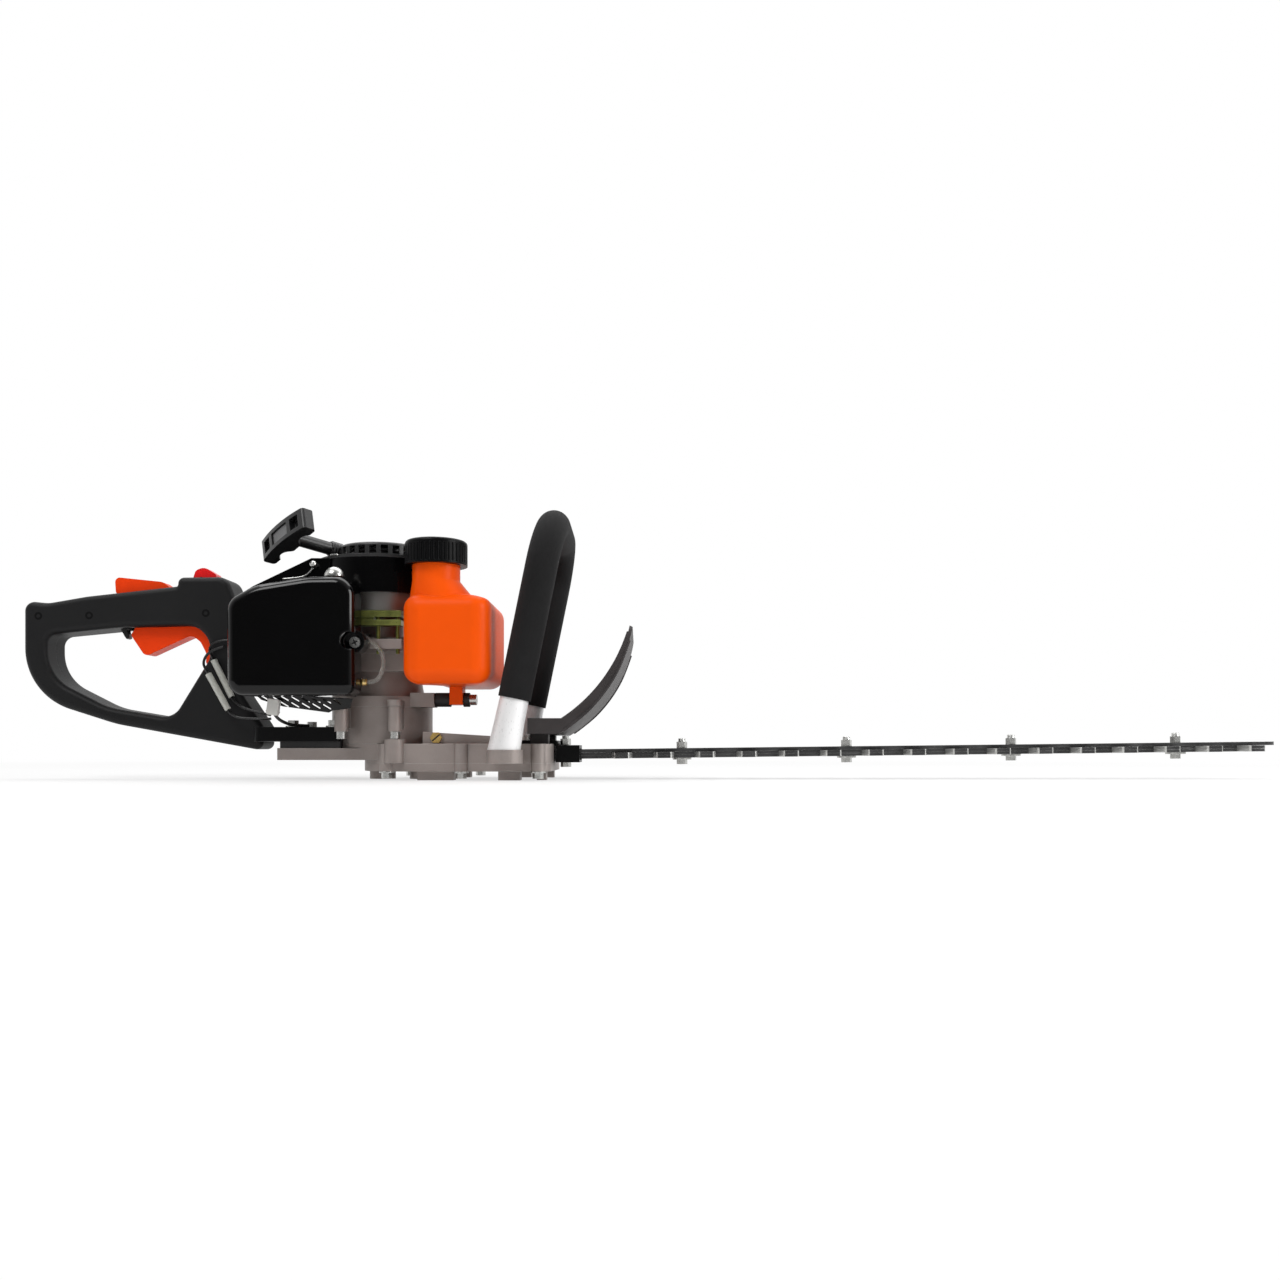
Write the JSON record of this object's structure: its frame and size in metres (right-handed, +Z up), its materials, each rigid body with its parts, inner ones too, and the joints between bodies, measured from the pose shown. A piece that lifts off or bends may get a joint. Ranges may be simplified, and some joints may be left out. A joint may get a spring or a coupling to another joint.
{
  "type": "petrol hedge trimmer",
  "caption": "Petrol hedge trimmer: vertical-shaft engine on a gear case drives a pair of opposed toothed blades, with a D-shaped throttle handle, a loop handle and a guard.",
  "frame": {"origin": "on the crankshaft axis, on the floor that the feet of the gear case stand on", "axes": "+X along the blades to their tip, +Y to the machine's left side, +Z up along the crankshaft"},
  "size_m": [1.0739, 0.1713, 0.2254],
  "materials": {
    "cast_metal": "sand-cast, satin",
    "engine_alloy": "cast, bare",
    "blade_steel": "ground",
    "machined_steel": "machined, oiled",
    "zinc_steel": "zinc plated",
    "handle_legs": "bare tube",
    "brass": "machined",
    "orange_plastic": "moulded, semi-gloss",
    "grey_plastic": "moulded, fine grain",
    "black_plastic": "moulded, satin",
    "gloss_black": "glossy",
    "red_plastic": "moulded",
    "clear_plastic": "clear sleeve",
    "foam_rubber": "foam grip",
    "black_rubber": "moulded",
    "black_paint": "powder coated",
    "olive_zinc": "chromated",
    "wire": "insulation",
    "rope": "braided"
  },
  "bodies": {
    "machine": {"gear_case_cover": "cast_metal", "gear_case": "cast_metal", "grease_plug": "brass", "clutch_housing": "cast_metal", "crankcase_lower": "cast_metal", "clutch_housing_bolts": "zinc_steel", "crankcase_upper": "cast_metal", "ball_bearings": "machined_steel", "cylinder": "engine_alloy", "spark_plug": "zinc_steel", "spark_plug_cap": "black_rubber", "ignition_coil": "olive_zinc", "fan_shroud": "black_plastic", "starter_cover": "black_plastic", "cover_screws": "zinc_steel", "muffler": "machined_steel", "muffler_cover": "gloss_black", "muffler_cover_screws": "zinc_steel", "carburettor": "engine_alloy", "air_filter_box": "black_plastic", "fuel_tank": "orange_plastic", "tank_mount_rubbers": "black_rubber", "tank_mount_bolt": "zinc_steel", "breather_hose": "clear_plastic", "fuel_hose": "black_rubber", "front_handle_tube": "handle_legs", "front_handle_posts": "cast_metal", "front_grip": "foam_rubber", "hand_guard": "black_plastic", "case_top_screws": "zinc_steel", "blade_guide_bar": "blade_steel", "blade_bracket": "black_paint", "blade_bolts": "zinc_steel", "blade_nuts": "zinc_steel", "rear_handle_right": "grey_plastic", "rear_handle_left": "grey_plastic", "handle_screws": "zinc_steel", "handle_bracket": "black_paint", "handle_rubber_pad": "black_rubber", "flange_bolts": "zinc_steel", "wire_connectors": "clear_plastic", "stop_wires": "wire"},
    "upper_blade": {"upper_blade": "blade_steel"},
    "lower_blade": {"lower_blade": "blade_steel"},
    "gear": {"drive_gear": "machined_steel"},
    "upper_rod": {"upper_rod": "machined_steel"},
    "lower_rod": {"lower_rod": "machined_steel"},
    "drum": {"clutch_drum": "machined_steel"},
    "crank": {"crankshaft": "machined_steel", "flywheel": "engine_alloy", "clutch_shoes": "machined_steel"},
    "piston": {"piston": "engine_alloy"},
    "conrod": {"connecting_rod": "engine_alloy"},
    "starter_pull": {"starter_handle": "black_plastic", "starter_rope": "rope"},
    "reel": {"starter_reel": "black_plastic"},
    "trigger": {"throttle_trigger": "orange_plastic"},
    "lock": {"lock_lever": "orange_plastic"},
    "switch": {"stop_switch": "red_plastic"},
    "cap": {"fuel_cap": "black_plastic"}
  },
  "joints": [
    {"name": "upper_blade_slide", "type": "slide", "parent": "machine", "child": "upper_blade", "axis": [0.9999, 0, 0.0112], "range_m": [-0.0085, 0.0085]},
    {"name": "lower_blade_slide", "type": "slide", "parent": "machine", "child": "lower_blade", "axis": [0.9999, 0, 0.0112], "range_m": [-0.0085, 0.0085]},
    {"name": "gear_spin", "type": "hinge", "parent": "machine", "child": "gear", "pos_m": [0.042, 0, 0.02], "axis": [0, 0, 1], "continuous": true},
    {"name": "pinion_spin", "type": "hinge", "parent": "machine", "child": "drum", "pos_m": [0, 0, 0.02], "axis": [0, 0, 1], "continuous": true},
    {"name": "upper_rod_swing", "type": "hinge", "parent": "gear", "child": "upper_rod", "pos_m": [0.042, 0.0085, 0.025], "axis": [0, 0, 1], "continuous": true},
    {"name": "lower_rod_swing", "type": "hinge", "parent": "gear", "child": "lower_rod", "pos_m": [0.042, -0.0085, 0.014], "axis": [0, 0, 1], "continuous": true},
    {"name": "crank_spin", "type": "hinge", "parent": "machine", "child": "crank", "pos_m": [0, 0, 0.106], "axis": [0, 0, 1], "continuous": true},
    {"name": "piston_slide", "type": "slide", "parent": "machine", "child": "piston", "axis": [1, 0, 0], "range_m": [0, 0.028]},
    {"name": "conrod_swing", "type": "hinge", "parent": "piston", "child": "conrod", "pos_m": [-0.06, 0, 0.106], "axis": [0, 0, 1], "range_deg": [-17.5, 17.5]},
    {"name": "starter_slide", "type": "slide", "parent": "machine", "child": "starter_pull", "axis": [-0.6491, -0.7521, 0.114], "range_m": [0, 0.6], "stiffness_N_per_m": 12, "springref_m": -0.5, "deforming": ["starter_rope"]},
    {"name": "reel_spin", "type": "hinge", "parent": "machine", "child": "reel", "pos_m": [0, 0, 0.19], "axis": [0, 0, 1], "range_deg": [0, 1445.4]},
    {"name": "trigger_squeeze", "type": "hinge", "parent": "machine", "child": "trigger", "pos_m": [-0.139, 0, 0.103], "axis": [0, 1, 0], "range_deg": [0, 9], "stiffness_Nm_per_rad": 0.8, "springref_deg": -11.46},
    {"name": "lock_press", "type": "hinge", "parent": "machine", "child": "lock", "pos_m": [-0.19, 0, 0.16], "axis": [0, -1, 0], "range_deg": [0, 10], "stiffness_Nm_per_rad": 0.3, "springref_deg": -11.46},
    {"name": "stop_rock", "type": "hinge", "parent": "machine", "child": "switch", "pos_m": [-0.152, 0, 0.171], "axis": [0, 1, 0], "range_deg": [0, 14]},
    {"name": "cap_lift", "type": "slide", "parent": "machine", "child": "cap", "axis": [0, 0, 1], "range_m": [0, 0.06]}
  ],
  "couplings": [
    {"joint": "lower_blade_slide", "follows": "upper_blade_slide", "ratio": -1},
    {"joint": "pinion_spin", "follows": "gear_spin", "ratio": -4.6},
    {"joint": "upper_rod_swing", "follows": "gear_spin", "ratio": -1},
    {"joint": "lower_rod_swing", "follows": "gear_spin", "ratio": -1},
    {"joint": "reel_spin", "follows": "starter_slide", "rad_per_m": 42.017}
  ]
}
